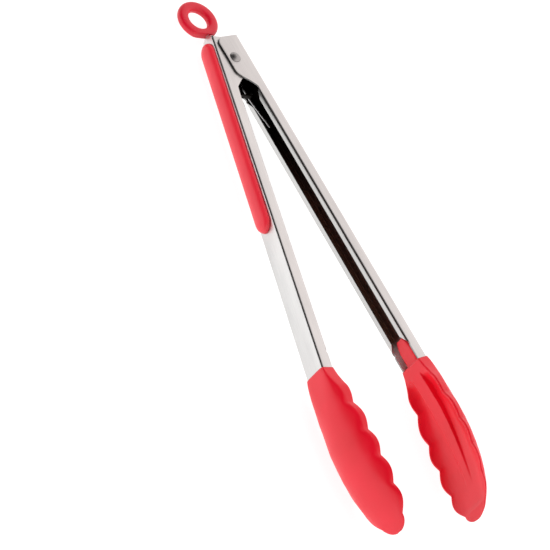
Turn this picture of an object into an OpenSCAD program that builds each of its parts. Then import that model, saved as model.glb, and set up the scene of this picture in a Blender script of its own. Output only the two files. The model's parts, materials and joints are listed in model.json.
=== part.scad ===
// Spring loaded kitchen tongs, lying open on their side.
// The pivot axis is near vertical, the pull ring is at +Y and the gripping heads are at -Y.
//
// Each arm is drawn in its own frame and then placed: X runs from the outer face of the arm's
// web towards the other arm, Y runs up the arm with the pivot at Y = 0, and Z runs along the
// pivot axis with the arm's middle at Z = 0. The right-hand pieces are mirrored.

/* [Arms] */
// Angle of each arm from the centre line when open, in degrees
open_half = 7.4; // [6.5:0.1:8]
// Thickness of the stainless sheet
sheet = 0.8; // [0.6:0.1:1]
// Distance of each arm's outer face from the pivot axis
web_to_pivot = 9.9; // [9.5:0.1:10.5]
// Height of each arm above the pivot
arm_above = 13.5; // [12:0.5:15]
// Length of each arm below the pivot, down to the head
arm_below = 188; // [180:1:200]
// Half width of the outer arm at its top end
outer_half_top = 6.7; // [6.7:0.1:6.9]
// Half width of the inner arm at its top end
inner_half_top = 5.6; // [5.5:0.1:5.6]
// Half width of both arms at the head
half_rim = 7.2; // [7:0.1:7.4]
// Depth of the cheeks around the pivot
cheek_deep = 14.6; // [13.5:0.1:15]
// Depth of the cheeks along the arm
cheek_low = 6.8; // [6:0.1:7.2]
// Width of the rolled lip along each cheek's free edge
lip = 2.6; // [2:0.1:3]

/* [Pivot] */
// Radius of the rivet's shank
shank_r = 2.0; // [1.5:0.1:2.2]
// Radius of the rivet's domed head
head_r = 3.1; // [2.8:0.1:3.5]
// Radial clearance of the outer arm on the rivet
run_gap = 0.05; // [0.02:0.01:0.08]
// Outer radius of the spacer sleeve
sleeve_r = 2.7; // [2.5:0.1:2.8]
// Wire diameter of the torsion spring
wire_d = 1.2; // [1:0.1:1.3]

/* [Lock] */
// Travel of the pull ring
lock_travel = 5; // [4:0.5:5]
// Radius of the hole in the pull ring
ring_hole_r = 5.9; // [5:0.1:6.5]
// Radius of the outside of the pull ring
ring_r = 11.7; // [11:0.1:12.5]
// Thickness of the pull ring
ring_thick = 4.8; // [4:0.1:6]
// Height of the ring's centre above the pivot
ring_y = 27.4; // [26:0.1:30]

/* [Grips] */
// Lower end of the grip pads, below the pivot
pad_low = 105; // [98:1:120]
// Upper end of the grip pads, above the pivot
pad_high = 12.0; // [8:0.1:12.4]
// Height of the grip pads over the web
pad_proud = 3.8; // [2:0.1:4]

/* [Heads] */
// Length of each head beyond its arm
head_len = 85.5; // [75:0.5:95]
// Largest half width of each head
head_half = 16.8; // [14:0.1:18]
// Depth of the scallops along the rim
scallop = 2.0; // [0.8:0.1:2.2]
// Wall thickness of the spoon
wall = 2.0; // [1.8:0.1:2.6]
// Distance of the tips from the outer face line of the arm
tip_in = 20; // [18:0.5:20]

/* [Hidden] */
$fn = 48;
eps = 0.01;
slot_top = -50;
slot_low = -95;

// The arms widen towards the heads by this angle on each side.
outer_taper = atan((half_rim - outer_half_top) / (arm_above + arm_below));
inner_taper = atan((half_rim - inner_half_top) / (arm_above + arm_below));
outer_half_pivot = outer_half_top + arm_above * tan(outer_taper);
inner_half_pivot = inner_half_top + arm_above * tan(inner_taper);

// The tongs rest on both heads and on the rivet's lower end, so they lean by this angle.
rivet_end = outer_half_pivot + 0.1 + 1.0;
rest_y = arm_below + 0.56 * head_len;
lean = atan((head_half - rivet_end) / rest_y);
rest_z = rivet_end * cos(lean) + 0.1;

// Half of the whole length, to put the origin under the middle of the tongs.
top_y = (ring_y + ring_r) * cos(open_half) + 1.5;
tip_y = -(arm_below + head_len) * cos(open_half) - 1.3;
mid_y = (top_y + tip_y) / 2;

steel = "silver";
silicone = [0.92, 0.26, 0.33];
nylon = [0.8, 0.12, 0.18];

// Puts children drawn in the tongs' own frame, with the pivot at the origin, onto the table.
module place() {
    translate([0, -mid_y, rest_z])
        rotate([-lean, 0, 0])
            children();
}

// Puts children drawn in the left arm's frame.
module left() {
    place()
        rotate([0, 0, -open_half])
            translate([-web_to_pivot, 0, 0])
                children();
}

// Puts children drawn in the right arm's frame.
module right() {
    place()
        mirror([1, 0, 0])
            rotate([0, 0, -open_half])
                translate([-web_to_pivot, 0, 0])
                    children();
}

// ---------------------------------------------------------------- arms

// A rectangle from the origin with its far corners in Y rounded.
module rounded_block(size, r) {
    square([size[0], size[1] - r]);
    translate([r, 0])
        square([size[0] - 2 * r, size[1]]);
    translate([r, size[1] - r])
        circle(r);
    translate([size[0] - r, size[1] - r])
        circle(r);
}

// The same with only the web's corner rounded.
module half_block(size, r) {
    square([size[0], size[1] - r]);
    translate([r, 0])
        square([size[0] - r, size[1]]);
    translate([r, size[1] - r])
        circle(r);
}

// Where the two halves of a web overlap across its middle.
module web_middle() {
    translate([0, -4])
        square([sheet, 4 + eps]);
}

// Upper half of a channel's section, with plain cheeks.
module plain_section(depth, half) {
    fold_r = 1.5;
    web_middle();
    difference() {
        half_block([depth, half], fold_r);
        translate([sheet, -eps])
            half_block([depth, half - sheet + eps], fold_r - sheet);
    }
}

// Upper half of a channel's section, with a lip rolled in at the free edge.
module lipped_section(half) {
    fold_r = 1.5;
    web_middle();
    difference() {
        rounded_block([cheek_low, half], fold_r);
        translate([sheet, -eps])
            rounded_block([cheek_low - 2 * sheet, half - sheet + eps], fold_r - sheet);
        translate([cheek_low - sheet - eps, -eps])
            square([2 * sheet, half - lip + eps]);
    }
}

// A stretch of half channel between two heights, widened by its taper.
module half_channel(high, low, half, taper, lipped) {
    rotate([-taper, 0, 0])
        translate([0, high, 0])
            rotate([90, 0, 0])
                linear_extrude(height = high - low)
                    if (lipped)
                        lipped_section(half);
                    else
                        plain_section(cheek_deep, half);
}

// The outline of the cheeks, seen along the pivot axis. The mouth is the slope from the deep
// cheeks down to a short dip, and the lipped edge starts at lip_y.
module cheek_outline(depth, lip_y) {
    corner_r = 4.2;
    mouth_top = -8;
    mouth_low = -19;
    dip = cheek_low - 1;
    translate([-1, -arm_below])
        square([cheek_low + 1, arm_below + lip_y - 0.8]);
    polygon([[-1, lip_y - 1], [cheek_low, lip_y - 1], [cheek_low - 0.3, lip_y - 0.2], [dip, lip_y + 0.6],
             [dip, mouth_low - 0.6], [dip + 0.7, mouth_low + 1], [depth - 2, mouth_top - 2.2],
             [depth - 0.6, mouth_top - 0.6], [depth, mouth_top + 1.2],
             [depth, arm_above - corner_r], [-1, arm_above - corner_r]]);
    translate([-1, arm_above - corner_r - 1])
        square([depth + 1 - corner_r, corner_r + 1]);
    translate([depth - corner_r, arm_above - corner_r])
        circle(corner_r);
}

// A whole channel: deep plain cheeks at the pivot and lipped cheeks below the mouth.
module channel(half, taper, depth, lip_top) {
    lip_low = -176;
    intersection() {
        translate([0, 0, -20])
            linear_extrude(height = 40)
                cheek_outline(depth, lip_top);
        for (side = [0, 1])
            mirror([0, 0, side]) {
                half_channel(arm_above + 1, lip_top, half, taper, false);
                half_channel(lip_top, lip_low, half, taper, true);
                half_channel(lip_low, -arm_below - 1, half, taper, false);
            }
    }
}

// The slot in the web that the grip pad is pressed through.
module grip_slot() {
    for (y = [slot_top, slot_low])
        translate([-1, y, 0])
            rotate([0, 90, 0])
                cylinder(r = 2.2, h = 3);
    translate([-1, slot_low, -2.2])
        cube([3, slot_top - slot_low, 4.4]);
}

// Two bent tabs that hold the lock slider against the web.
module slider_guides() {
    for (y = [4, -9], side = [0, 1])
        mirror([0, 0, side]) {
            translate([sheet - eps, y, slider_half + 0.1])
                cube([1.5, 3, 0.6]);
            translate([sheet + 1.2, y, slider_half - 0.5])
                cube([0.5, 3, 1.2]);
        }
}

module inner_arm() {
    color(steel)
        left() {
            difference() {
                channel(inner_half_top, inner_taper, cheek_deep - 0.4, -29);
                translate([web_to_pivot, 0, 0])
                    cylinder(r = shank_r + 0.02, h = 40, center = true);
                grip_slot();
            }
            slider_guides();
        }
}

module outer_arm() {
    color(steel)
        right() {
            difference() {
                channel(outer_half_top, outer_taper, cheek_deep, -21.5);
                translate([web_to_pivot, 0, 0])
                    cylinder(r = shank_r + run_gap, h = 40, center = true);
                grip_slot();
            }
            keeper();
        }
}

// ---------------------------------------------------------------- pivot

module pivot_rivet() {
    dome_h = 1.3;
    tail_h = 1.0;
    seat = outer_half_pivot + 0.1;
    color("gainsboro")
        place() {
            cylinder(r = shank_r, h = 2 * seat, center = true);
            translate([0, 0, seat])
                dome(head_r, dome_h);
            mirror([0, 0, 1])
                translate([0, 0, seat])
                    dome(head_r - 0.3, tail_h);
        }
}

// A shallow dome standing on Z = 0.
module dome(r, h) {
    ball = (r * r + h * h) / (2 * h);
    rotate_extrude()
        intersection() {
            translate([0, h - ball])
                circle(ball, $fn = 180);
            square([r, h]);
        }
}

module spacer_sleeve() {
    color("gray")
        place()
            difference() {
                cylinder(r = sleeve_r, h = sleeve_len, center = true);
                cylinder(r = shank_r + 0.02, h = sleeve_len + 1, center = true);
            }
}

sleeve_len = 2 * (inner_half_pivot - sheet) - 0.3;

// ---------------------------------------------------------------- spring

coil_r = sleeve_r + 0.3 + wire_d / 2;
coil_pitch = wire_d + 0.12;
coil_low = -2.4;
coil_turns = 1.35;

// A round wire swept along a list of points.
module wire(path, sides = 8) {
    n = len(path);
    function along(i) = path[min(i + 1, n - 1)] - path[max(i - 1, 0)];
    function unit(v) = v / norm(v);
    function ring(i) =
        let (t = unit(along(i)), a = unit(cross(t, [0.02, 0.01, 1])), b = cross(t, a))
        [for (k = [0:sides - 1])
            path[i] + wire_d / 2 * (cos(360 * k / sides) * a + sin(360 * k / sides) * b)];
    points = [for (i = [0:n - 1]) each ring(i)];
    sides_faces = [for (i = [0:n - 2], k = [0:sides - 1])
        let (a = i * sides + k, b = i * sides + (k + 1) % sides)
        each [[a, b, b + sides], [a, b + sides, a + sides]]];
    first = [[for (k = [sides - 1:-1:0]) k]];
    last = [[for (k = [0:sides - 1]) (n - 1) * sides + k]];
    polyhedron(points, concat(sides_faces, first, last));
}

// Points down a helix round the pivot, from the angle where a leg joins it.
function coil(leg_angle, z0, climb) =
    let (steps = 26)
    [for (i = [0:steps])
        let (a = leg_angle + 360 * coil_turns * i / steps)
        [coil_r * cos(a), coil_r * sin(a), z0 + climb * coil_pitch * coil_turns * i / steps]];

// A point given in an arm's own frame, in the tongs' frame for the left arm.
function from_arm(x, y, z) =
    let (dx = x - web_to_pivot)
    [dx * cos(open_half) + y * sin(open_half), y * cos(open_half) - dx * sin(open_half), z];

// The half of the spring held by the inner arm: its leg bears on the left web.
module torsion_spring() {
    z = coil_low + coil_pitch * 2 * coil_turns + wire_d + 0.2;
    leg = [from_arm(2.0, -44, z), from_arm(4.1, -28, z), from_arm(5.4, -14, z), from_arm(6.2, -4, z)];
    color("lightgray")
        place()
            wire(concat(leg, [for (p = coil(190, z, -1)) [p[0], -p[1], p[2]]]));
}

// The half of the spring that turns with the outer arm: its leg lies in the right channel.
module spring_free_leg() {
    z = coil_low;
    leg = [from_arm(4.6, -39.5, z), from_arm(5.1, -36, z), from_arm(5.8, -32, z), from_arm(6.8, -25, z),
           from_arm(7.6, -18, z), from_arm(6.9, -9, z), from_arm(6.3, -3, z)];
    color("lightgray")
        place()
            mirror([1, 0, 0])
                wire(concat(leg, [for (p = coil(190, z, 1)) [p[0], -p[1], p[2]]]));
}

// ---------------------------------------------------------------- lock

slider_half = 3.2;
slider_in = sheet + 0.2;
slider_t = 0.8;
hook_low = -20.6;
hook_reach = 18.2;
keeper_out = 4.3;

strip_top = ring_y - ring_hole_r - 1.5;
ring_foot = ring_y - 10;
tab_half = 1.7;
shoulder_half = 4;

// The flat slider inside the inner arm, with a hook that reaches across to the outer arm and a
// tab that is held in the ring.
module lock_slider() {
    color("darkgray")
        left() {
            translate([slider_in, hook_low, -slider_half])
                cube([slider_t, ring_foot - hook_low - 0.05, 2 * slider_half]);
            translate([slider_in, arm_above + 0.4, -shoulder_half])
                cube([slider_t, ring_foot - arm_above - 0.45, 2 * shoulder_half]);
            translate([slider_in, ring_foot - 1, -tab_half])
                cube([slider_t, strip_top - ring_foot + 1, 2 * tab_half]);
            translate([slider_in, hook_low, -1.1])
                cube([hook_reach - slider_in, 0.8, 2.9]);
            translate([hook_reach - 0.6, hook_low, -1.1])
                cube([0.6, 3.8, 2.9]);
        }
}

// The keeper bent out of the right web, which the hook pulls up behind.
module keeper() {
    translate([sheet - eps, -11.6, -1.8])
        cube([keeper_out - sheet, 0.6, 3.6]);
    translate([keeper_out - 0.6, -14.5, -1.8])
        cube([0.6, 3.5, 3.6]);
}

// The pull ring, with its hole along the pivot axis and a flat foot where the slider's tab enters.
module pull_ring() {
    color(silicone)
        left()
            difference() {
                translate([ring_x, ring_y, 0])
                    rotate_extrude($fn = 96)
                        ring_section();
                translate([-20, ring_foot - 20, -10])
                    cube([40, 20, 20]);
                translate([slider_in - 0.02, ring_foot - 1, -tab_half - 0.02])
                    cube([slider_t + 0.04, strip_top - ring_foot + 1.02, 2 * tab_half + 0.04]);
            }
}

ring_x = -1.2;

// A rounded band round the hole: flat on the inside for ring_flat, crowned everywhere else.
module ring_section() {
    crown = 1.6;
    z = ring_thick / 2 - crown;
    translate([ring_hole_r, -ring_flat / 2])
        square([ring_r - ring_hole_r - crown, ring_flat]);
    translate([ring_hole_r + crown + 0.05, -ring_thick / 2])
        square([ring_r - ring_hole_r - 2 * crown - 0.1, ring_thick]);
    translate([ring_r - 2 * crown, -z])
        square([2 * crown, 2 * z]);
    for (x = [ring_hole_r + crown + 0.05, ring_r - crown], side = [-1, 1])
        translate([x, side * z])
            circle(crown);
}

ring_flat = 1.8;

// ---------------------------------------------------------------- grips

pad_half_high = 5.2;
pad_half_low = 5.6;
pad_drop = 0.4;

// A long pad with round ends and a crowned face, drawn on the outside of the web. It widens a
// little towards the head and sits slightly below the web's middle.
module grip_pad() {
    layers = [[0.55, 0], [0.85, 0.6], [1, 1.7]];
    for (layer = layers)
        translate([-pad_proud * layer[0], 0, -pad_drop])
            pad_layer(layer[1], pad_proud * layer[0]);
    // The stem through the slot and the flange behind the web
    translate([-0.1, slot_low, -2])
        cube([sheet + 0.2, slot_top - slot_low, 4]);
    translate([sheet + 0.05, slot_low - 1, -3])
        cube([1.1, slot_top - slot_low + 2, 6]);
}

// One layer of the pad, with its edge stepped in.
module pad_layer(inset, depth) {
    high_r = pad_half_high - inset;
    low_r = pad_half_low - inset;
    hull() {
        translate([0, pad_high - pad_half_high, 0])
            rotate([0, 90, 0])
                cylinder(r = high_r, h = depth, $fn = 32);
        translate([0, pad_half_low - pad_low, 0])
            rotate([0, 90, 0])
                cylinder(r = low_r, h = depth, $fn = 32);
    }
}

module left_grip() {
    color(silicone)
        left()
            grip_pad();
}

module right_grip() {
    color(silicone)
        right()
            grip_pad();
}

// ---------------------------------------------------------------- heads

// Half width of the spoon, distance of its rim and of its back from the arm's face line,
// each at a fraction f of the head's length.
function head_w(f) =
    let (root = half_rim + 0.3, top = head_half - 0.7 * scallop)
    f < 0.56 ? root + (top - root) * sin(90 * f / 0.56)
             : top * sqrt(max(0, 1 - pow((f - 0.56) / 0.44, 2.3)));
function head_rim(f) = cheek_low + 5 * f + (tip_in - cheek_low - 5) * pow(f, 2.8);
function head_back(f) = -0.6 - 3 * f + (tip_in + 3.6) * pow(f, 2.4);

// The scallops' valleys fall at whole numbers of this count.
function lobe(f) =
    lookup(f, [[0, 0], [0.12, 0.3], [0.257, 1], [0.444, 2], [0.608, 3], [0.778, 4], [0.936, 5], [1, 5.5]]);
function wave(f) = scallop * (abs(sin(180 * lobe(f))) - 0.3);

// How much of the spoon is hollow at f: none at the socket, all from the middle on.
function hollow(f) = let (u = min(1, max(0, (f - 0.05) / 0.42))) u * u * (3 - 2 * u);

// One point of the shell at f along the head and a from -1 to 1 across it, outside or inside.
function head_point(f, a, inside) =
    let (rim = head_rim(f) + 0.5 * wave(f),
         thick = 1.2 * wall,
         full = max(0.3, rim - head_back(f)),
         depth = inside ? max(0.05, (full - thick) * hollow(f)) : full,
         w = max(0.4, head_w(f)) - (inside ? min(wall, 0.5 * head_w(f)) : 0),
         n = f < 0.3 ? 5 - 3 * f / 0.3 : 2,
         across = pow(abs(sin(90 * a)), 2 / n) * sign(a),
         bulge = wave(f) * pow(abs(a), 3) * min(1, 8 * f) * min(1, 6 * (1 - f)))
    [rim - depth * pow(abs(cos(90 * a)), 2 / n), -arm_below - head_len * f, (w + bulge) * across];

// A closed solid between the outer face and the dished inner face.
module spoon(rows, cols) {
    function row_f(i) = 0.995 * sin(90 * i / rows);
    function row_outer(i) = [for (k = [0:cols]) head_point(row_f(i), -1 + 2 * k / cols, false)];
    function row_inner(i) = [for (k = [cols:-1:0]) head_point(row_f(i), -1 + 2 * k / cols, true)];
    points = [for (i = [0:rows]) each concat(row_outer(i), row_inner(i))];
    m = 2 * (cols + 1);
    around = [for (i = [0:rows - 1], k = [0:m - 1])
        let (a = i * m + k, b = i * m + (k + 1) % m)
        each [[b, b + m, a], [b + m, a + m, a]]];
    // Each end is a strip between the outer and the inner row.
    function strip(base) = [for (k = [0:cols - 1])
        let (a = base + k, b = base + k + 1, c = base + m - 2 - k, e = base + m - 1 - k)
        each [[a, b, c], [a, c, e]]];
    function flipped(faces) = [for (t = faces) [t[2], t[1], t[0]]];
    polyhedron(points, concat(around, flipped(strip(0)), strip(rows * m)));
}

module head_skin() {
    difference() {
        spoon(30, 18);
        core_plug(0.03);
    }
}

// The hidden part of the core, inside the skin's socket.
module core_plug(grow) {
    translate([0.9 - grow, -arm_below - 12 - grow, -4.4 - grow])
        cube([3.6 + 2 * grow, 12 + 2 * grow, 8.8 + 2 * grow]);
}

// The nylon core: a tongue inside the channel and a plug inside the skin.
module head_core() {
    core_plug(0);
    translate([sheet + 0.1, -arm_below - eps, -4.2])
        cube([3.7, 12 + eps, 8.4]);
    translate([sheet + 0.1, -arm_below + 12 - eps, -2.8])
        cube([3.7, 2.6, 5.6]);
}

module left_head_core() {
    color(nylon)
        left()
            head_core();
}

module right_head_core() {
    color(nylon)
        right()
            head_core();
}

module left_head_skin() {
    color(silicone)
        left()
            head_skin();
}

module right_head_skin() {
    color(silicone)
        right()
            head_skin();
}

inner_arm();
outer_arm();
pivot_rivet();
spacer_sleeve();
torsion_spring();
spring_free_leg();
lock_slider();
pull_ring();
left_grip();
right_grip();
left_head_core();
right_head_core();
left_head_skin();
right_head_skin();
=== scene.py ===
import json
import math

import bmesh
import bpy
import numpy as np
from mathutils import Matrix, Vector


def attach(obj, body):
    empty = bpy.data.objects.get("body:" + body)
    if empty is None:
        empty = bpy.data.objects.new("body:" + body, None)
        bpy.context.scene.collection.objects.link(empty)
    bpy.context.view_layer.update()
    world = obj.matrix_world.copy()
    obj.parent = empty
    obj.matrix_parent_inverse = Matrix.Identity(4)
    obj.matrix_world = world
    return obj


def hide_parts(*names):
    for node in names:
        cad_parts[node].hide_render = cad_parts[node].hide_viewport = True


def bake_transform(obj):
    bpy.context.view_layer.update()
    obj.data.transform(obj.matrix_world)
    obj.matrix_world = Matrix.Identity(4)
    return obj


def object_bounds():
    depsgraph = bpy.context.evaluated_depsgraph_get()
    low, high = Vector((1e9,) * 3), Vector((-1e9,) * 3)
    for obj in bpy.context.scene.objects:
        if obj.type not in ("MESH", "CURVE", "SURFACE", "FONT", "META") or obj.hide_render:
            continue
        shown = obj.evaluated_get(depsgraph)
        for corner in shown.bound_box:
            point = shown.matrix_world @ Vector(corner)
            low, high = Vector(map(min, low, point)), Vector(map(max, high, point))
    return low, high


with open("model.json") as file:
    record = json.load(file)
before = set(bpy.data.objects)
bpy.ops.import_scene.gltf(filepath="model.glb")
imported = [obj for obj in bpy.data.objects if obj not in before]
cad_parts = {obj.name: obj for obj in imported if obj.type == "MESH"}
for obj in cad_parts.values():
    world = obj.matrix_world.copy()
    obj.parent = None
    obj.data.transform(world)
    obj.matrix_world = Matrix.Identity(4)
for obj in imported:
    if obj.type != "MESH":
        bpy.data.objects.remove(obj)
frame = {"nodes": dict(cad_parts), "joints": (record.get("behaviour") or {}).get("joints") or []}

CAD_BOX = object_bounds()
MM = 0.001

# ------------------------------------------------------------------ the design's own sizes, in mm
# Every piece but the spring is drawn in its arm's frame: x from the web's outer face towards the
# other arm, y up the arm with the pivot at 0, z along the pivot axis. A "half" is half a width along z.
SIDES = ("left", "right")
SHEET = 0.8

# Arms: channels folded from sheet, with a rolled lip on each cheek below the mouth.
WEB_TO_PIVOT = 9.9
ARM_TOP = 13.5
ARM_END = -188.0
HALF_TOP = {"left": 5.6, "right": 6.7}
HALF_RIM = 7.2
CHEEK_DEEP = {"left": 14.2, "right": 14.6}
CHEEK_LOW = 6.8
CHEEK_END = -7.0
CORNER = 4.2
FOLD_R = 1.1
LIP_BEND = 1.1
LIP_FULL = 9.6

# Heads: scalloped spoons that start at the arm's end and curve in to meet at the tips.
HEAD_LEN = 86.3
HEAD_HALF = 16.8
HEAD_WIDEST = 0.56
HEAD_TIP = 0.9985
OUTLINE_POWER = 2.8
RIM_POWER = 2.8
BACK_POWER = 2.7
RIM_SLOPE = 5
BACK_SLOPE = -3
RIM_ROUND = 0.7
SKIN_STAND = 0.3
SLEEVE_STAND = 0.6
WALL_LEAST = 1.8
SCALLOP = 2.0
TIP_IN = 20.0

# The tongue of each head's core, up inside the channel. It narrows from TONGUE_FULL to its top.
TONGUE_TOP = -173.4
TONGUE_FULL = -178.5
TONGUE_ROOT = -192.0
TONGUE_HALF = 4.3
TONGUE_X = (0.95, 4.6)
TONGUE_NARROW = 0.55
NARROW_TO = -173.0

# Grip pads: a wall, a crown that rises over it, and round ends longer than a half circle.
PAD_TOP = 12.0
PAD_LOW = -105.0
PAD_WALL = 2.1
PAD_RISE = 1.7
PAD_DROP = 0.6
PAD_HALF = (5.1, 5.3)
PAD_END = 1.3

# Pull ring.
RING_X = -1.2
RING_Y = 27.4
RING_HOLE = 5.9
RING_R = 11.7
RING_FOOT = 17.4
RING_THICK = 4.8

# Lock strip: it lies on the web's inner face and ends in a hook that reaches for the other arm.
STRIP_GAP = 0.2
HOOK_Y = -20.2
HOOK_REACH = 17.8
HOOK_BEND = 1.2
HOOK_TIP_R = 1.0
HOOK_TIP_RISE = 2.6

# Rivet.
RIVET_HEAD_R = 3.1
RIVET_DOME = 1.6
RIVET_SHANK_R = 2.0
RIVET_GAP = 0.06

# Spring: one wire, with a coil round the pivot and a leg on each arm.
WIRE_R = 0.6
COIL_R = 3.6
COIL_LOW = -2.4
COIL_PITCH = 1.32
COIL_TURNS = 2.7
COIL_START = 190
LEFT_LEG = [(2.0, -44), (4.1, -28), (5.4, -14), (6.2, -4)]
RIGHT_LEG = [(4.6, -39.5), (5.1, -36), (5.8, -32), (6.8, -25), (7.6, -18), (6.9, -9), (6.3, -3)]


def smooth(a, b, v):
    """Rises smoothly from 0 at a to 1 at b."""
    u = min(1.0, max(0.0, (v - a) / (b - a)))
    return u * u * (3 - 2 * u)


def curve_at(points, v):
    """A value on a broken line given as (position, value) pairs in rising order."""
    return float(np.interp(v, [p[0] for p in points], [p[1] for p in points]))


# ------------------------------------------------------------------ the frame's axes
joints = {j["name"]: j for j in frame["joints"]}
PIVOT = Vector(joints["arm_hinge"]["pos_m"])
AXIS_Z = -Vector(joints["arm_hinge"]["axis"]).normalized()
LEFT_Y = Vector(joints["lock_pull"]["axis"]).normalized()
LEFT_X = LEFT_Y.cross(AXIS_Z).normalized()
MIRROR = Matrix.Diagonal((-1, 1, 1, 1))


def left_matrix():
    m = Matrix((LEFT_X, LEFT_Y, AXIS_Z)).transposed().to_4x4()
    m.translation = PIVOT - LEFT_X * WEB_TO_PIVOT * MM
    return m


ARM = {"left": left_matrix(), "right": None}
# The right arm mirrors the left one. Its x axis is turned round so that the frame stays right handed,
# and its meshes are drawn with x negated.
ARM["right"] = MIRROR @ ARM["left"] @ MIRROR
FLIP = {"left": 1, "right": -1}
BODY = {"left": "left_side", "right": "right_side"}


def in_scene(name, data):
    obj = bpy.data.objects.new(name, data)
    bpy.context.scene.collection.objects.link(obj)
    return obj


def make_object(name, verts, faces, side, body=None):
    """A mesh from points in mm in an arm's frame, smooth shaded, riding on its body."""
    sign = FLIP[side]
    mesh = bpy.data.meshes.new(name)
    mesh.from_pydata([(sign * x * MM, y * MM, z * MM) for x, y, z in verts], [], faces)
    mesh.update()
    bm = bmesh.new()
    bm.from_mesh(mesh)
    if sign < 0:
        bmesh.ops.reverse_faces(bm, faces=bm.faces)
    for f in bm.faces:
        f.smooth = True
    bm.to_mesh(mesh)
    bm.free()
    obj = in_scene(name, mesh)
    obj.matrix_world = ARM[side]
    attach(obj, body or BODY[side])
    return obj


def recalc_normals(obj):
    """Joins points that coincide and turns every face outwards."""
    bm = bmesh.new()
    bm.from_mesh(obj.data)
    bmesh.ops.remove_doubles(bm, verts=bm.verts, dist=1e-6)
    bmesh.ops.recalc_face_normals(bm, faces=bm.faces)
    bm.to_mesh(obj.data)
    bm.free()


def grid_faces(rows, cols, closed=False):
    """Quads between rows of points. A closed grid joins each row's last point to its first."""
    faces = []
    for i in range(rows - 1):
        for k in range(cols if closed else cols - 1):
            a = i * cols + k
            b = i * cols + (k + 1) % cols
            faces.append((a, b, b + cols, a + cols))
    return faces


def capped_faces(rows, cols):
    """A closed tube of rings with a flat cap on each end."""
    last = (rows - 1) * cols
    caps = [tuple(reversed(range(cols))), tuple(range(last, last + cols))]
    return grid_faces(rows, cols, closed=True) + caps


def thicken(obj, thickness, offset):
    sheet = obj.modifiers.new("sheet", "SOLIDIFY")
    sheet.thickness = thickness * MM
    sheet.offset = offset
    return sheet


def round_edges(obj, width, segments, angle):
    """Rounds every edge that is sharper than the angle, in degrees."""
    edges = obj.modifiers.new("edges", "BEVEL")
    edges.width = width * MM
    edges.segments = segments
    edges.limit_method = "ANGLE"
    edges.angle_limit = math.radians(angle)


def finish_piece(obj, mat, slot, *nodes):
    """Gives a piece its material and hides the CAD nodes it stands for. The slot is not used."""
    obj.data.materials.append(mat)
    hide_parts(*nodes)


# ------------------------------------------------------------------ materials
def new_material(name):
    mat = bpy.data.materials.new(name)
    mat.use_nodes = True
    return mat, mat.node_tree.nodes, mat.node_tree.links, mat.node_tree.nodes["Principled BSDF"]


def coords(nodes, links, scale=(1, 1, 1)):
    """The piece's own coordinates in metres, stretched by the scale."""
    tex = nodes.new("ShaderNodeTexCoord")
    mapping = nodes.new("ShaderNodeMapping")
    mapping.inputs["Scale"].default_value = scale
    links.new(tex.outputs["Object"], mapping.inputs["Vector"])
    return mapping.outputs["Vector"]


def noise(nodes, links, vector, scale, detail=3.0):
    n = nodes.new("ShaderNodeTexNoise")
    n.inputs["Scale"].default_value = scale
    n.inputs["Detail"].default_value = detail
    links.new(vector, n.inputs["Vector"])
    return n.outputs["Fac"]


def ramp(nodes, links, fac, stops):
    """A colour ramp from (position, colour) stops in rising order."""
    r = nodes.new("ShaderNodeValToRGB")
    r.color_ramp.elements[0].position = stops[0][0]
    r.color_ramp.elements[0].color = (*stops[0][1], 1)
    r.color_ramp.elements[1].position = stops[-1][0]
    r.color_ramp.elements[1].color = (*stops[-1][1], 1)
    for pos, col in stops[1:-1]:
        e = r.color_ramp.elements.new(pos)
        e.color = (*col, 1)
    links.new(fac, r.inputs["Fac"])
    return r.outputs["Color"]


def spread(nodes, links, fac, low, high):
    """Maps the middle of a noise's range to low and high."""
    m = nodes.new("ShaderNodeMapRange")
    m.inputs["From Min"].default_value = 0.3
    m.inputs["From Max"].default_value = 0.7
    m.inputs["To Min"].default_value = low
    m.inputs["To Max"].default_value = high
    links.new(fac, m.inputs["Value"])
    return m.outputs["Result"]


def bump(nodes, links, height, strength, distance, shader):
    b = nodes.new("ShaderNodeBump")
    b.inputs["Strength"].default_value = strength
    b.inputs["Distance"].default_value = distance
    links.new(height, b.inputs["Height"])
    links.new(b.outputs["Normal"], shader.inputs["Normal"])


def brushed(name, dark, light, rough, streak=(9000, 90, 9000)):
    """Brushed steel: fine streaks, by default along the arm, over a slow cloudiness."""
    mat, nodes, links, bsdf = new_material(name)
    fine = noise(nodes, links, coords(nodes, links, streak), 1.0, 2.0)
    cloud = noise(nodes, links, coords(nodes, links, (60, 14, 60)), 1.0, 2.0)
    part = nodes.new("ShaderNodeMath")
    part.operation = "MULTIPLY"
    part.inputs[1].default_value = 0.4
    links.new(fine, part.inputs[0])
    both = nodes.new("ShaderNodeMath")
    both.operation = "MULTIPLY_ADD"
    both.inputs[1].default_value = 0.6
    links.new(cloud, both.inputs[0])
    links.new(part.outputs[0], both.inputs[2])
    links.new(ramp(nodes, links, both.outputs[0], [(0.3, dark), (0.7, light)]), bsdf.inputs["Base Color"])
    links.new(spread(nodes, links, fine, rough - 0.05, rough + 0.07), bsdf.inputs["Roughness"])
    bump(nodes, links, fine, 0.2, 0.00004, bsdf)
    bsdf.inputs["Metallic"].default_value = 1.0
    return mat


# Painted shade and light on the steel inside the channel, by height up the arm: painted shade, black in
# the mouth and brown further down, and painted light, pale, at the head. From DULL_FROM down to DULL_TO it
# stops shining like metal.
DULL_FROM, DULL_TO = -171, -177
CHANNEL_PAINTED_TONES = [(ARM_END, (0.95, 0.94, 0.93)), (-174.9, (0.95, 0.94, 0.93)), (-169.9, (0.6, 0.42, 0.35)),
               (-87.2, (0.52, 0.32, 0.27)), (-42.9, (0.1, 0.06, 0.05)), (-26.8, (0.008, 0.006, 0.005)),
               (ARM_TOP, (0.008, 0.006, 0.005))]


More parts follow.
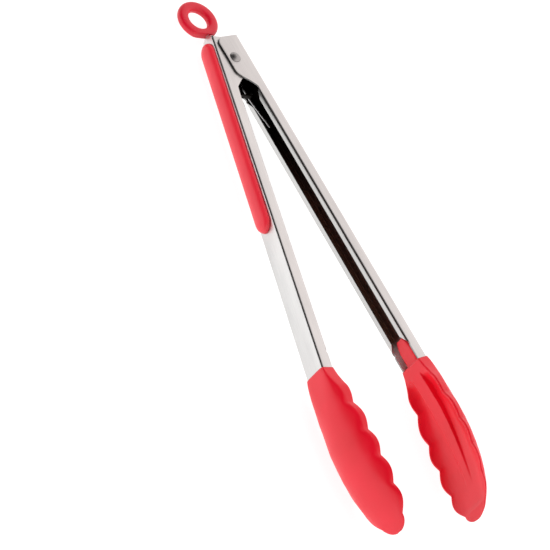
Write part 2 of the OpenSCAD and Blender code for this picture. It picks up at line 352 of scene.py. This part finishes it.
def channel_painted_light_and_shade():
    """The inside of the channel, in painted shade and light: black in the mouth, brown further down, pale
    and dull at the head.
    """
    mat = brushed("channel_painted_light_and_shade", (0.7, 0.7, 0.7), (1.0, 1.0, 1.0), 0.42)
    nodes, links, bsdf = mat.node_tree.nodes, mat.node_tree.links, mat.node_tree.nodes["Principled BSDF"]
    streaks = bsdf.inputs["Base Color"].links[0].from_socket
    place = nodes.new("ShaderNodeSeparateXYZ")
    links.new(coords(nodes, links), place.inputs[0])
    along = nodes.new("ShaderNodeMapRange")
    along.inputs["From Min"].default_value = ARM_END * MM
    along.inputs["From Max"].default_value = ARM_TOP * MM
    links.new(place.outputs["Y"], along.inputs["Value"])
    tone = ramp(nodes, links, along.outputs["Result"],
                [((y - ARM_END) / (ARM_TOP - ARM_END), colour) for y, colour in CHANNEL_PAINTED_TONES])
    mix = nodes.new("ShaderNodeMix")
    mix.data_type = "RGBA"
    mix.blend_type = "MULTIPLY"
    mix.inputs["Factor"].default_value = 1.0
    links.new(tone, mix.inputs["A"])
    links.new(streaks, mix.inputs["B"])
    links.new(mix.outputs["Result"], bsdf.inputs["Base Color"])
    finish = nodes.new("ShaderNodeMapRange")
    finish.inputs["From Min"].default_value = DULL_TO * MM
    finish.inputs["From Max"].default_value = DULL_FROM * MM
    links.new(place.outputs["Y"], finish.inputs["Value"])
    links.new(finish.outputs["Result"], bsdf.inputs["Metallic"])
    return mat


def silicone(name, deep, bright, rough):
    """Matt moulded silicone: a fine grain, a slow change of colour and a soft sheen."""
    mat, nodes, links, bsdf = new_material(name)
    grain = noise(nodes, links, coords(nodes, links), 2600, 3.0)
    cloud = noise(nodes, links, coords(nodes, links), 55, 2.0)
    links.new(ramp(nodes, links, cloud, [(0.3, deep), (0.7, bright)]), bsdf.inputs["Base Color"])
    links.new(spread(nodes, links, grain, rough - 0.05, rough + 0.07), bsdf.inputs["Roughness"])
    bump(nodes, links, grain, 0.15, 0.00005, bsdf)
    bsdf.inputs["Sheen Weight"].default_value = 0.05
    bsdf.inputs["Sheen Roughness"].default_value = 0.5
    bsdf.inputs["Sheen Tint"].default_value = (1.0, 0.55, 0.55, 1)
    bsdf.inputs["Specular IOR Level"].default_value = 0.62
    return mat


STEEL = brushed("brushed_steel", (0.63, 0.625, 0.62), (0.9, 0.89, 0.88), 0.36)
# Painted shade: a dark steel laid along each fold line and along the lip's bend.
FOLD_SHADE = brushed("fold_painted_shade", (0.16, 0.16, 0.155), (0.24, 0.24, 0.23), 0.4)
# Painted shade: the sheet's cut edges are a darker steel, so the gap between the cheeks reads dark.
EDGE_SHADE = brushed("cut_edge_painted_shade", (0.3, 0.3, 0.3), (0.42, 0.42, 0.41), 0.4)
# Painted shade inside the channel, with painted light at the head.
CHANNEL_LIGHT_AND_SHADE = channel_painted_light_and_shade()
# Painted shade: the rolled lip is a darker copy of the sheet steel, brushed across the arm.
LIP_SHADE = brushed("lip_painted_shade", (0.58, 0.58, 0.57), (0.76, 0.76, 0.75), 0.36, (400, 4000, 400))
RIVET = brushed("rivet_steel", (0.38, 0.375, 0.37), (0.5, 0.49, 0.485), 0.4, (500, 500, 500))
WIRE = brushed("spring_wire", (0.5, 0.5, 0.5), (0.72, 0.72, 0.72), 0.25, (2000, 300, 2000))
SILICONE = silicone("red_silicone", (0.88, 0.001, 0.017), (0.95, 0.002, 0.024), 0.38)
PAD_SILICONE = silicone("pad_silicone", (0.9, 0.022, 0.045), (0.97, 0.03, 0.055), 0.38)
RING_SILICONE = silicone("ring_silicone", (0.72, 0.001, 0.022), (0.78, 0.002, 0.03), 0.42)
NYLON = silicone("red_nylon", (0.88, 0.012, 0.03), (0.95, 0.02, 0.04), 0.4)


# ------------------------------------------------------------------ arms
# How far the sheet reaches from the web, by height up the arm. Along LIPPED the last part of it is
# bent round into the lip.
EDGE_FOOT = [(ARM_END, 6.2), (-180, 6.3), (-178.6, 5.7), (-176, 7.6), (-173, LIP_FULL)]
EDGE_LINE = {
    "left": EDGE_FOOT + [(-36, LIP_FULL), (-31.5, 7.6), (-28.5, 6.2), (-26, 5.9), (-18.6, 6.2),
                         (-15.4, 8.6), (-12.2, 11.3), (-9.6, 13.7), (-8.4, 14.15),
                         (CHEEK_END, CHEEK_DEEP["left"])],
    "right": EDGE_FOOT + [(-25.5, LIP_FULL), (-21.6, 7.6), (-20.4, 6.4), (-19.4, 5.8), (-18.3, 6.2),
                          (-14.8, 9.1), (-12.1, 12.1), (-9.4, 14.15), (-8.2, 14.55),
                          (CHEEK_END, CHEEK_DEEP["right"])],
}
LIPPED = {"left": (-178.6, -27), "right": (-178.6, -19.4)}


def web_half(side, y):
    """Half the web's width. The channel widens evenly from its top to its end."""
    slope = (HALF_RIM - HALF_TOP[side]) / (ARM_TOP - ARM_END)
    return HALF_TOP[side] + (ARM_TOP - y) * slope


def sheet_reach(side, y):
    """How far the sheet reaches from the web. Its top corner is rounded."""
    deep = CHEEK_DEEP[side]
    if y > ARM_TOP - CORNER:
        rise = min(CORNER, y - (ARM_TOP - CORNER))
        return deep - CORNER + math.sqrt(CORNER ** 2 - rise ** 2)
    return curve_at(EDGE_LINE[side], y) if y < CHEEK_END else deep


def arm_rows():
    """Heights of the sections: close together where the free edge turns, wide apart between."""
    rows = [ARM_TOP - CORNER * (1 - math.cos(a)) for a in np.linspace(0, math.pi / 2, 12)]
    rows += list(np.linspace(9, -6, 14)) + list(np.linspace(-6.5, -37, 92))
    rows += list(np.linspace(-39, -171, 60)) + list(np.linspace(-172, ARM_END, 46))
    return rows


WEB_COLS, FOLD_COLS, CHEEK_COLS, LIP_COLS = 6, 7, 8, 9


def arm_section(side, y):
    """Points across one half of the sheet's outer face, from the web's middle to the free edge."""
    half = web_half(side, y)
    reach = sheet_reach(side, y)
    flat_end = CHEEK_LOW - LIP_BEND
    low, high = LIPPED[side]
    bent = low <= y <= high
    pts = [(0, (half - FOLD_R) * k / WEB_COLS) for k in range(WEB_COLS)]
    for k in range(FOLD_COLS):
        a = math.pi / 2 * k / FOLD_COLS
        pts.append((FOLD_R - FOLD_R * math.cos(a), half - FOLD_R + FOLD_R * math.sin(a)))
    for k in range(CHEEK_COLS):
        pts.append((FOLD_R + (flat_end - FOLD_R) * k / CHEEK_COLS, half))
    for k in range(LIP_COLS + 1):
        u = (reach - flat_end) * k / LIP_COLS
        if not bent:
            pts.append((flat_end + u, half))
        elif u < LIP_BEND * math.pi / 2:
            a = u / LIP_BEND
            pts.append((flat_end + LIP_BEND * math.sin(a), half - LIP_BEND * (1 - math.cos(a))))
        else:
            pts.append((CHEEK_LOW, half - LIP_BEND - (u - LIP_BEND * math.pi / 2)))
    return pts


def arm_sheet(side, node):
    """The outer face as a grid, thickened inwards, with painted shade as a dark line along the fold and
    the lip's bend.
    """
    verts = []
    rows = arm_rows()
    for y in rows:
        half = arm_section(side, y)
        row = [(x, y, -z) for x, z in reversed(half[1:])] + [(x, y, z) for x, z in half]
        verts += row
    cols = len(verts) // len(rows)
    faces = [tuple(reversed(f)) for f in grid_faces(len(rows), cols)]
    obj = make_object(f"{side}_arm_sheet", verts, faces, side)
    # The sheet's inner faces take the channel's painted shade and light.
    outside, inside, rim = (STEEL, FOLD_SHADE, LIP_SHADE), (CHANNEL_LIGHT_AND_SHADE,) * 3, (EDGE_SHADE,) * 3
    middle = cols // 2
    fold = WEB_COLS + 3
    bend = WEB_COLS + FOLD_COLS + CHEEK_COLS + 2
    low, high = LIPPED[side]
    for i, f in enumerate(obj.data.polygons):
        row, col = divmod(i, cols - 1)
        off = col - middle if col >= middle else middle - 1 - col
        bent = low <= rows[row] <= high - 1
        # Painted shade: the faces along the fold and the lip's bend take the dark fold steel.
        if off == fold or (bent and off == bend):
            f.material_index = outside.index(FOLD_SHADE)
        # Painted shade: the rest of the lip takes the darker lip steel.
        elif bent and off > bend:
            f.material_index = outside.index(LIP_SHADE)
    for mat in outside + inside + rim:
        obj.data.materials.append(mat)
    thick = thicken(obj, SHEET, -1)
    thick.material_offset = len(outside)
    # The rim faces, the sheet's cut edges, take the edge steel's painted shade.
    thick.material_offset_rim = len(outside + inside)
    round_edges(obj, 0.1, 2, 50)
    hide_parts(node)


for side, node in zip(SIDES, ("inner_arm", "outer_arm")):
    arm_sheet(side, node)


# ------------------------------------------------------------------ heads
# Throughout, f runs along the head from 0 at the sleeve's end to 1 at the tip.
def head_half(f):
    """Half the width of the outline that the scallops wave about. The tip is blunt."""
    root, top = HALF_RIM + SKIN_STAND, HEAD_HALF - 0.7 * SCALLOP
    if f < HEAD_WIDEST:
        return root + (top - root) * math.sin(math.pi / 2 * f / HEAD_WIDEST)
    past = (f - HEAD_WIDEST) / (1 - HEAD_WIDEST)
    return top * math.sqrt(max(0.0, 1 - past ** OUTLINE_POWER))


def head_rim(f):
    """The rim's x: a slight slope, then a curve in to the tip."""
    return CHEEK_LOW + RIM_SLOPE * f + (TIP_IN - CHEEK_LOW - RIM_SLOPE) * f ** RIM_POWER


def head_back(f):
    """The x of the back's crest: it bows out a little before it curves in to the tip."""
    return -SLEEVE_STAND + BACK_SLOPE * f + (TIP_IN + SLEEVE_STAND - BACK_SLOPE) * f ** BACK_POWER


# The valleys between the scallops fall at whole numbers of this count.
LOBES = [(0, 0), (0.12, 0.3), (0.257, 1), (0.444, 2), (0.608, 3), (0.778, 4), (0.936, 5), (1, 5.5)]


def head_wave(f):
    """How far the scallops stand out of the outline, or in from it where it is negative."""
    return SCALLOP * (abs(math.sin(math.pi * curve_at(LOBES, f))) - 0.3)


# Height of the side wall, depth of the bowl and height of its centre rib, along the head.
SIDE_WALL = [(0, 5.9), (0.04, 5.0), (0.09, 4.2), (0.15, 3.9), (0.28, 3.6), (0.42, 2.9), (0.56, 2.2),
             (0.7, 1.6), (0.82, 1.2), (1, 0.7)]
BOWL = [(0, 0), (0.075, 0), (0.11, 2.2), (0.17, 3.7), (0.3, 4.2), (0.45, 4.1), (0.6, 3.5), (0.75, 2.6),
        (0.9, 1.2), (1, 0)]
RIB = [(0, 0), (0.075, 0), (0.11, 1.9), (0.17, 2.7), (0.3, 2.1), (0.45, 1.5), (0.6, 0.9), (0.72, 0.35),
       (0.8, 0), (1, 0)]
RIB_FOOT = 1.2
HEAD_ROWS = 170
OUT_COLS, SIDE_COLS, EDGE_COLS, IN_COLS = 26, 7, 4, 56


def fade(f, floor=0.0):
    """Rises from 0 at the sleeve and falls again to the floor at the tip."""
    return min(1, 7 * f) * min(1, 8 * (1 - f) + floor)


def head_section(f):
    """Half a section, from the crest of the back round the rim to the middle of the inner face."""
    wave = head_wave(f) * fade(f, 0.25)
    rim = head_rim(f) + 0.35 * wave
    back = min(head_back(f), rim - 0.6)
    full = rim - back
    side = min(curve_at(SIDE_WALL, f), 0.55 * full + 4 * max(0, 0.3 - f))
    drop = full - side
    base_w = max(0.35, head_half(f))
    w = base_w + wave
    # The back: square like the sleeve at the root, a dome further down. Its width keeps clear of the
    # scallops except close to the side wall.
    draft = 0.25 * smooth(0, 0.2, f)
    shoulder = max(0.3, base_w + 0.2 * SCALLOP * fade(f) - draft)
    crest_w = max(0.3, base_w + 0.75 * wave - draft)
    dome = smooth(0.0, 0.32, f)
    end_a = math.radians(72 + 12 * f)
    pts = []
    for k in range(OUT_COLS + 1):
        u = k / OUT_COLS
        a = math.pi / 2 * u
        box_x, box_z = 1 - abs(math.cos(a)) ** 0.4, math.sin(a) ** 0.4
        b = end_a * u
        arc_x, arc_z = (1 - math.cos(b)) / (1 - math.cos(end_a)), math.sin(b) / math.sin(end_a)
        width = shoulder + (crest_w - shoulder) * smooth(0.68, 1.0, u)
        x, z = box_x + (arc_x - box_x) * dome, box_z + (arc_z - box_z) * dome
        pts.append((back + drop * x, width * z))
    # The side wall and the rounded rim.
    edge_r = min(RIM_ROUND, 0.3 * side)
    for k in range(1, SIDE_COLS):
        u = k / SIDE_COLS
        pts.append((back + drop + (side - edge_r) * u, crest_w + (w - crest_w) * u))
    for k in range(EDGE_COLS + 1):
        a = math.pi / 2 * k / EDGE_COLS
        pts.append((rim - edge_r + edge_r * math.sin(a), w - edge_r + edge_r * math.cos(a)))
    # The bowl, with the rib along its middle.
    bowl = min(curve_at(BOWL, f), max(0.0, full - WALL_LEAST))
    rib = min(curve_at(RIB, f), bowl)
    rib_half = 3.5 - 1.7 * smooth(0.25, 0.8, f)
    w_in = w - edge_r - 0.5
    pts.append((rim, w_in))
    for k in range(1, IN_COLS + 1):
        z = w_in * (1 - k / IN_COLS)
        dish = (1 - (z / w_in) ** 3.2) ** 0.9
        ridge = rib * (1 - smooth(rib_half, rib_half + RIB_FOOT, z))
        level = head_rim(f) + (rim - head_rim(f)) * smooth(0.5, 1.0, z / w_in)
        pts.append((level - bowl * dish + ridge, z))
    return pts


def head_skin(side):
    """Sections along the head, closer together towards the tip, and a small flat cap there."""
    verts = []
    rows = [HEAD_TIP * math.sin(math.pi / 2 * i / HEAD_ROWS) for i in range(HEAD_ROWS + 1)]
    for f in rows:
        half = head_section(f)
        y = ARM_END - HEAD_LEN * f
        verts += [(x, y, z) for x, z in half] + [(x, y, -z) for x, z in reversed(half[1:-1])]
    faces = capped_faces(len(rows), len(verts) // len(rows))
    obj = make_object(f"{side}_head_silicone", verts, faces, side)
    recalc_normals(obj)
    finish_piece(obj, SILICONE, "red_silicone", f"{side}_head_skin")


def block(name, side, low, high, bevel, taper):
    """A moulded block between two corners, drawn in by the taper, with rounded edges."""
    (x0, y0, z0), (x1, y1, z1) = low, high
    cuts = 6
    verts, faces, index = [], [], {}

    def vert(p):
        key = tuple(round(v, 4) for v in p)
        if key not in index:
            index[key] = len(verts)
            verts.append(taper(*p))
        return index[key]

    def face(origin, du, dv):
        for i in range(cuts):
            for k in range(cuts):
                corner = [[origin[a] + du[a] * (i + p) / cuts + dv[a] * (k + q) / cuts for a in range(3)]
                          for p, q in ((0, 0), (1, 0), (1, 1), (0, 1))]
                faces.append(tuple(vert(c) for c in corner))

    dx, dy, dz = x1 - x0, y1 - y0, z1 - z0
    face((x0, y0, z0), (0, dy, 0), (dx, 0, 0))
    face((x0, y0, z1), (dx, 0, 0), (0, dy, 0))
    face((x0, y0, z0), (dx, 0, 0), (0, 0, dz))
    face((x0, y1, z0), (0, 0, dz), (dx, 0, 0))
    face((x0, y0, z0), (0, 0, dz), (0, dy, 0))
    face((x1, y0, z0), (0, dy, 0), (0, 0, dz))
    obj = make_object(name, verts, faces, side)
    recalc_normals(obj)
    round_edges(obj, bevel, 3, 30)
    return obj


def narrowed(x, y, z):
    """Draws the tongue in towards its upper end."""
    up = (y - TONGUE_FULL) / (NARROW_TO - TONGUE_FULL)
    return x, y, z * (1 - (1 - TONGUE_NARROW) * smooth(0, 1, up))


def head_tongue(side):
    low, high = (TONGUE_X[0], TONGUE_ROOT, -TONGUE_HALF), (TONGUE_X[1], TONGUE_TOP, TONGUE_HALF)
    obj = block(f"{side}_head_tongue", side, low, high, 0.5, narrowed)
    finish_piece(obj, NYLON, "red_nylon", f"{side}_head_core")


for side in SIDES:
    head_skin(side)
    head_tongue(side)


# ------------------------------------------------------------------ grips
PAD_RINGS, PAD_AROUND, PAD_STEPS = 20, 40, 30


def grip(side):
    """A crowned pad with long round ends, built as rings that step in from its outline."""
    top_half, low_half = PAD_HALF
    top_y, low_y = PAD_TOP - top_half * PAD_END, PAD_LOW + low_half * PAD_END

    def round_end(y, half, turn):
        angles = [math.pi * k / PAD_AROUND for k in range(PAD_AROUND + 1)]
        return [(y + turn * half * PAD_END * math.sin(a), turn * half * math.cos(a)) for a in angles]

    def straight(y0, half0, y1, half1, turn):
        parts = [k / PAD_STEPS for k in range(1, PAD_STEPS)]
        return [(y0 + (y1 - y0) * u, turn * (half0 + (half1 - half0) * u)) for u in parts]

    def ring(inset, x):
        top, low = top_half * (1 - inset), low_half * (1 - inset)
        loop = round_end(top_y, top, 1) + straight(top_y, top, low_y, low, -1)
        loop += round_end(low_y, low, -1) + straight(low_y, low, top_y, top, 1)
        return [(x, y, z - PAD_DROP) for y, z in loop]

    verts = ring(0.06, 0.0)
    for k in range(PAD_RINGS + 1):
        u = 1 - math.cos(math.pi / 2 * k / PAD_RINGS)
        height = PAD_WALL * math.sqrt(1 - (1 - u) ** 10) + PAD_RISE * (1 - (1 - u) ** 2)
        verts += ring(u * 0.999, -max(height, 0.3))
    rows = PAD_RINGS + 2
    obj = make_object(f"{side}_grip_pad", verts, capped_faces(rows, len(verts) // rows), side)
    recalc_normals(obj)
    finish_piece(obj, PAD_SILICONE, "red_silicone", f"{side}_grip")


for side in SIDES:
    grip(side)


# ------------------------------------------------------------------ pull ring
def pull_ring():
    """A squarish round band, cut flat at its foot where the strip goes in, and softened."""
    bm = bmesh.new()
    mid, half_w, half_t = (RING_HOLE + RING_R) / 2, (RING_R - RING_HOLE) / 2, RING_THICK / 2
    turns, around, power = 96, 28, 2.5
    loops = []
    for i in range(turns):
        a = 2 * math.pi * i / turns
        loop = []
        for k in range(around):
            b = 2 * math.pi * k / around
            c, s = math.cos(b), math.sin(b)
            r = mid + half_w * math.copysign(abs(c) ** (2 / power), c)
            z = half_t * math.copysign(abs(s) ** (2 / power), s)
            loop.append(bm.verts.new(MM * Vector((RING_X + r * math.cos(a), RING_Y + r * math.sin(a), z))))
        loops.append(loop)
    for i in range(turns):
        for k in range(around):
            p, q = loops[i], loops[(i + 1) % turns]
            bm.faces.new((p[k], q[k], q[(k + 1) % around], p[(k + 1) % around]))
    bmesh.ops.bisect_plane(bm, geom=bm.verts[:] + bm.edges[:] + bm.faces[:],
                           plane_co=(0, MM * RING_FOOT, 0), plane_no=(0, 1, 0), clear_inner=True)
    bmesh.ops.holes_fill(bm, edges=[e for e in bm.edges if e.is_boundary])
    bmesh.ops.recalc_face_normals(bm, faces=bm.faces)
    mesh = bpy.data.meshes.new("pull_ring_band")
    bm.to_mesh(mesh)
    bm.free()
    obj = in_scene("pull_ring_band", mesh)
    obj.matrix_world = ARM["left"]
    fuse = obj.modifiers.new("fuse", "REMESH")
    fuse.mode = "VOXEL"
    fuse.voxel_size = 0.24 * MM
    fuse.use_smooth_shade = True
    soften = obj.modifiers.new("soften", "SMOOTH")
    soften.iterations = 6
    soften.factor = 0.5
    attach(obj, "lock")
    finish_piece(obj, RING_SILICONE, "red_silicone", "pull_ring")


pull_ring()


# ------------------------------------------------------------------ lock
# Height up the arm and half width of the strip, from its top inside the ring down to the hook, and the
# hook's two edges. Below STRIP_SHADE_BELOW it lies inside the channel and takes the channel's painted
# shade.
STRIP_LINE = [(18.4, 1.7), (16.9, 1.7), (16.7, 2.2), (15.6, 3.6), (14.6, 4.5), (13.9, 4.7), (13.2, 3.3),
              (12.6, 3.2), (6, 3.2), (0, 3.2), (-6, 3.2), (-12, 3.2), (-15, 3.2), (-16.5, 3.0),
              (-17.5, 2.4), (-18.4, 1.8)]
HOOK_WIDTH = (-1.1, 1.8)
STRIP_SHADE_BELOW = 12
# Just above the hook one side of the strip is cut back to this part of its half width.
STRIP_CUT = 0.62
STRIP_CUT_BELOW = -17


def strip(name, path, widths, side, body):
    """A flat strip bent along a path in the x-y plane, with its own two edges at each point."""
    verts, across = [], 6
    for (x, y), (z0, z1) in zip(path, widths):
        verts += [(x, y, z0 + (z1 - z0) * k / across) for k in range(across + 1)]
    obj = make_object(name, verts, grid_faces(len(path), across + 1), side, body)
    thicken(obj, SHEET, 0)
    round_edges(obj, 0.12, 2, 50)
    return obj


def arc(cx, cy, r, start, end, steps):
    """Points round a centre from one angle to another, in degrees, without the first one."""
    angles = [math.radians(start + (end - start) * k / steps) for k in range(1, steps + 1)]
    return [(cx + r * math.cos(a), cy + r * math.sin(a)) for a in angles]


def lock_slider():
    """The strip under the ring: down the arm, across the channel and up again into a hook."""
    x = SHEET + STRIP_GAP + SHEET / 2
    path = [(x, y) for y, _ in STRIP_LINE]
    widths = [(-half * (STRIP_CUT if y < STRIP_CUT_BELOW else 1), half) for y, half in STRIP_LINE]
    path += arc(x + HOOK_BEND, HOOK_Y + HOOK_BEND, HOOK_BEND, 180, 270, 6)
    start, end = x + HOOK_BEND, HOOK_REACH - HOOK_TIP_R
    path += [(start + (end - start) * k / 8, HOOK_Y) for k in range(1, 9)]
    path += arc(end, HOOK_Y + HOOK_TIP_R, HOOK_TIP_R, 270, 360, 5)
    path.append((HOOK_REACH, HOOK_Y + HOOK_TIP_RISE))
    widths += [HOOK_WIDTH] * (len(path) - len(widths))
    obj = strip("lock_hook_strip", path, widths, "left", "lock")
    # Painted shade: the part of the strip inside the channel takes the channel's dark steel.
    for f in obj.data.polygons:
        if f.center.y < STRIP_SHADE_BELOW * MM:
            f.material_index = 1
    finish_piece(obj, STEEL, "brushed_stainless", "lock_slider")
    obj.data.materials.append(CHANNEL_LIGHT_AND_SHADE)


lock_slider()


# ------------------------------------------------------------------ rivet and sleeve
def lathe(name, profile, steps, body):
    """A turned piece round the pivot axis, from (radius, height) pairs in mm."""
    verts = []
    for r, h in profile:
        for k in range(steps):
            a = 2 * math.pi * k / steps
            verts.append((WEB_TO_PIVOT + r * math.cos(a), r * math.sin(a), h))
    obj = make_object(name, verts, capped_faces(len(profile), steps), "left", body)
    recalc_normals(obj)
    return obj


def rivet():
    """A set end underneath, a shank through both arms and a domed head on top."""
    seat, shank = web_half("right", 0) + RIVET_GAP, RIVET_SHANK_R
    set_end = [(0.05, -1.0), (1.3, -0.95), (2.3, -0.55), (2.75, -0.12), (2.8, 0)]
    profile = [(r, h - seat) for r, h in set_end]
    profile += [(shank + 0.05, -seat + 0.02), (shank, -seat + 0.3), (shank, 0)]
    profile += [(shank, seat - 0.3), (shank + 0.05, seat - 0.02)]
    profile += [(RIVET_HEAD_R - 0.08, seat), (RIVET_HEAD_R, seat + 0.1)]
    ball = (RIVET_HEAD_R ** 2 + RIVET_DOME ** 2) / (2 * RIVET_DOME)
    for k in range(1, 12):
        a = math.asin((RIVET_HEAD_R - 0.04) / ball) * (1 - k / 12)
        profile.append((ball * math.sin(a), seat + RIVET_DOME - ball + ball * math.cos(a)))
    profile.append((0.05, seat + RIVET_DOME))
    obj = lathe("pivot_rivet_dome", profile, 56, "left_side")
    finish_piece(obj, RIVET, "rivet_steel", "pivot_rivet")


rivet()
for material_slot in frame["nodes"]["spacer_sleeve"].material_slots:
    material_slot.material = WIRE


# ------------------------------------------------------------------ spring
def tube(name, path, radius, sides=14):
    """A round wire along points in mm, given about the pivot and in the tongs' own axes."""
    pts = [Vector(p) for p in path]
    verts = []
    up = Vector((0.02, 0.01, 1))
    for i, p in enumerate(pts):
        along = (pts[min(i + 1, len(pts) - 1)] - pts[max(i - 1, 0)]).normalized()
        a = along.cross(up).normalized()
        b = a.cross(along)
        for k in range(sides):
            t = 2 * math.pi * k / sides
            verts.append(p + radius * (math.cos(t) * a + math.sin(t) * b))
    mesh = bpy.data.meshes.new(name)
    mesh.from_pydata([v * MM for v in verts], [], capped_faces(len(pts), sides))
    for f in mesh.polygons:
        f.use_smooth = True
    obj = in_scene(name, mesh)
    recalc_normals(obj)
    return obj


def softened(points, rounds=3):
    """Rounds the corners of a path by cutting them, keeping its ends."""
    pts = [Vector(p) for p in points]
    for _ in range(rounds):
        cut = [pts[0]]
        for a, b in zip(pts, pts[1:]):
            cut += [a * 0.75 + b * 0.25, a * 0.25 + b * 0.75]
        pts = cut + [pts[-1]]
    return pts


def tongs_matrix():
    """The tongs' own axes: x across them, y along their middle, z along the pivot axis."""
    y_axis = AXIS_Z.cross(Vector((1, 0, 0))).normalized()
    m = Matrix((y_axis.cross(AXIS_Z).normalized(), y_axis, AXIS_Z)).transposed().to_4x4()
    m.translation = PIVOT
    return m


def spring():
    """One wire: up the left leg, round the coil and back down the right leg."""
    open_half = math.asin(LEFT_Y.x)
    co, so = math.cos(open_half), math.sin(open_half)

    def from_arm(leg, z, sign):
        turned = [((x - WEB_TO_PIVOT) * co + y * so, y * co - (x - WEB_TO_PIVOT) * so) for x, y in leg]
        return [(sign * x, y, z) for x, y in turned]

    low = COIL_LOW
    high = low + COIL_PITCH * COIL_TURNS + 2 * WIRE_R + 0.2
    coil, steps = [], 110
    for i in range(steps + 1):
        a = math.radians(COIL_START) + 2 * math.pi * COIL_TURNS * i / steps
        coil.append(Vector((COIL_R * math.cos(a), -COIL_R * math.sin(a), high - (high - low) * i / steps)))
    left, right = softened(from_arm(LEFT_LEG, high, 1)), softened(from_arm(RIGHT_LEG, low, -1))
    obj = tube("torsion_spring_wire", left[:-1] + coil + right[::-1][1:], WIRE_R)
    obj.matrix_world = tongs_matrix()
    finish_piece(obj, WIRE, "spring_wire", "torsion_spring", "spring_free_leg")
    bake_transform(obj)


spring()

# ------------------------------------------------------------------ floor, light and camera
CENTRE = (CAD_BOX[0] + CAD_BOX[1]) / 2
FLOOR_HALF = 3.0
# The studio is white all round except for one dark flag, high up on the left and towards the ring.
# The stops are (cosine of the angle from the flag's middle, colour).
FLAG = (-0.6, 0.37, 0.71)
SKY = [(0.0, (1.09, 1.01, 0.99)), (0.34, (1.05, 0.98, 0.96)), (0.76, (0.01, 0.01, 0.01))]
# Where the camera stands, in metres, and how it is turned, in degrees.
CAMERA_PLACE = (-0.84153, -0.48582, 0.91748)
CAMERA_TURN = (36.0499, -30.8797, -24.6012)
CAMERA_LENS = 172.7
CAMERA_SHIFT = (-0.00456, 0.00556)


def pale_floor():
    mesh = bpy.data.meshes.new("floor")
    bm = bmesh.new()
    bmesh.ops.create_grid(bm, x_segments=8, y_segments=8, size=FLOOR_HALF)
    bm.to_mesh(mesh)
    bm.free()
    mat, _, _, bsdf = new_material("pale_floor")
    bsdf.inputs["Base Color"].default_value = (0.3, 0.3, 0.3, 1)
    bsdf.inputs["Roughness"].default_value = 0.9
    bsdf.inputs["Emission Color"].default_value = (1, 1, 1, 1)
    bsdf.inputs["Emission Strength"].default_value = 0.9
    bsdf.inputs["Specular IOR Level"].default_value = 0.1
    mesh.materials.append(mat)
    in_scene("floor", mesh)


def studio():
    world = bpy.data.worlds.new("studio")
    bpy.context.scene.world = world
    world.use_nodes = True
    nodes, links = world.node_tree.nodes, world.node_tree.links
    aim = nodes.new("ShaderNodeTexCoord")
    toward = nodes.new("ShaderNodeVectorMath")
    toward.operation = "DOT_PRODUCT"
    toward.inputs[1].default_value = FLAG
    links.new(aim.outputs["Generated"], toward.inputs[0])
    links.new(ramp(nodes, links, toward.outputs["Value"], SKY), nodes["Background"].inputs["Color"])
    nodes["Background"].inputs["Strength"].default_value = 1.0


def area_light(name, place, size, energy):
    """A soft light that points at the tongs' middle and isn't seen in the steel."""
    data = bpy.data.lights.new(name, "AREA")
    data.shape = "RECTANGLE"
    data.size, data.size_y = size
    data.energy = energy
    light = in_scene(name, data)
    light.location = CENTRE + Vector(place)
    light.visible_glossy = False
    light.rotation_mode = "QUATERNION"
    light.rotation_quaternion = (CENTRE - light.location).to_track_quat("-Z", "Y")


def photo_camera():
    data = bpy.data.cameras.new("camera")
    data.lens = CAMERA_LENS
    data.sensor_width = 36
    data.shift_x, data.shift_y = CAMERA_SHIFT
    data.clip_start = 0.05
    data.clip_end = 20
    camera = in_scene("camera", data)
    camera.location = CAMERA_PLACE
    camera.rotation_euler = [math.radians(a) for a in CAMERA_TURN]
    bpy.context.scene.camera = camera


pale_floor()
studio()
area_light("key", place=(-1.5, 0.7, 0.35), size=(1.0, 0.8), energy=8)
area_light("top", place=(0.3, 0.5, 1.6), size=(1.2, 1.2), energy=10)
photo_camera()
bpy.context.scene.view_settings.view_transform = "Standard"

bpy.context.view_layer.update()
